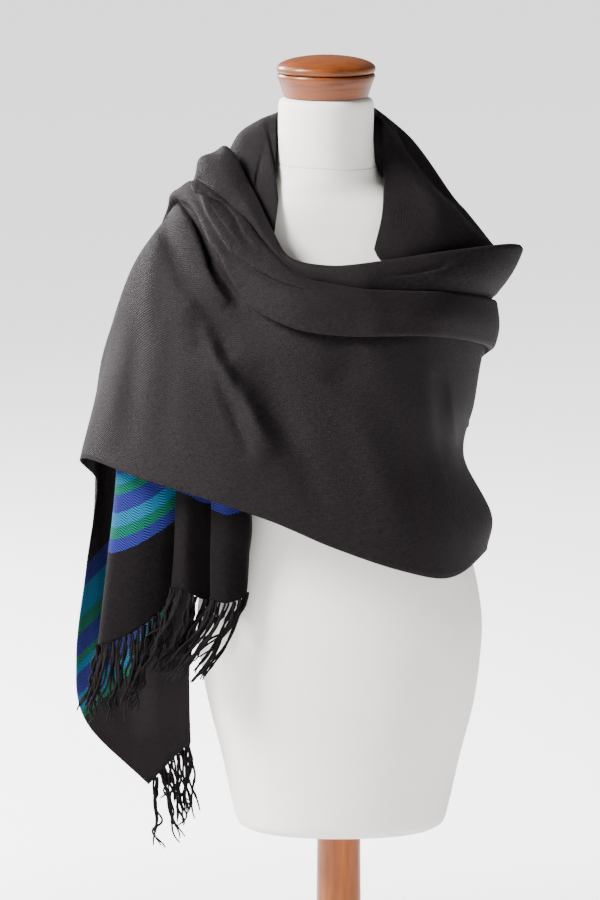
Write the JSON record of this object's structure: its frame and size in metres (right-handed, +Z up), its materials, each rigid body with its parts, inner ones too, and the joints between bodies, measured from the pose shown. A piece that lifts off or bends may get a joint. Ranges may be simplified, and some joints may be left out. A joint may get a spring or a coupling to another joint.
{
  "type": "shawl on dress form",
  "caption": "Long fringed shawl wrapped round the shoulders of a limbless dress form, one end hanging under the crossing front and the other thrown over the shoulder.",
  "frame": {"origin": "centre of the underside of the stand's round base, on the pole's axis", "axes": "+Z up along the pole, -Y the front of the form, +X the viewer's right as the front is seen"},
  "size_m": [0.4922, 0.3, 1.0755],
  "materials": {
    "shawl": "charcoal black twill with blue and green striped ends, soft and matt",
    "form": "off-white jersey stretched smooth over the form",
    "cap": "reddish brown turned wood, gloss varnish",
    "pole": "honey-coloured wood, satin varnish"
  },
  "bodies": {
    "root": {"shawl_front": "shawl", "shawl_back": "shawl", "shawl_end_over": "shawl", "shawl_end_under": "shawl", "fringe_over": "shawl", "fringe_under": "shawl", "form_torso": "form", "cap_block": "cap", "cap_lid": "cap", "pole": "pole", "base": "pole"}
  },
  "joints": []
}
